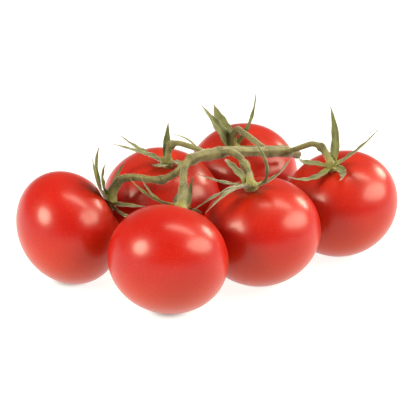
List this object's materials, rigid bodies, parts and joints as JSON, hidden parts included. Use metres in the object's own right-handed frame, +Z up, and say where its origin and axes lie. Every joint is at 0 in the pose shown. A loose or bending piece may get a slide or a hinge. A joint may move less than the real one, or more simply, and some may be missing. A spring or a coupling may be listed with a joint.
{
  "type": "truss of tomatoes",
  "caption": "Truss of ripe red tomatoes on one green stem, with arched stalks and star-shaped leafy calyxes, lying on a surface.",
  "frame": {"origin": "middle of the box's footprint, on the surface that the fruits stand on", "axes": "+X along the main stem towards its cut end, +Z up"},
  "size_m": [0.2065, 0.14, 0.0895],
  "materials": {
    "tomato_skin": "smooth, glossy ripe skin",
    "stem": "matt, finely hairy green stem",
    "calyx": "matt green sepals with brownish tips"
  },
  "bodies": {
    "root": {"peduncle": "stem", "tomato_1": "tomato_skin", "calyx_1": "calyx", "tomato_2": "tomato_skin", "calyx_2": "calyx", "tomato_3": "tomato_skin", "calyx_3": "calyx", "tomato_4": "tomato_skin", "calyx_4": "calyx", "tomato_5": "tomato_skin", "calyx_5": "calyx", "tomato_6": "tomato_skin", "calyx_6": "calyx"}
  },
  "joints": []
}
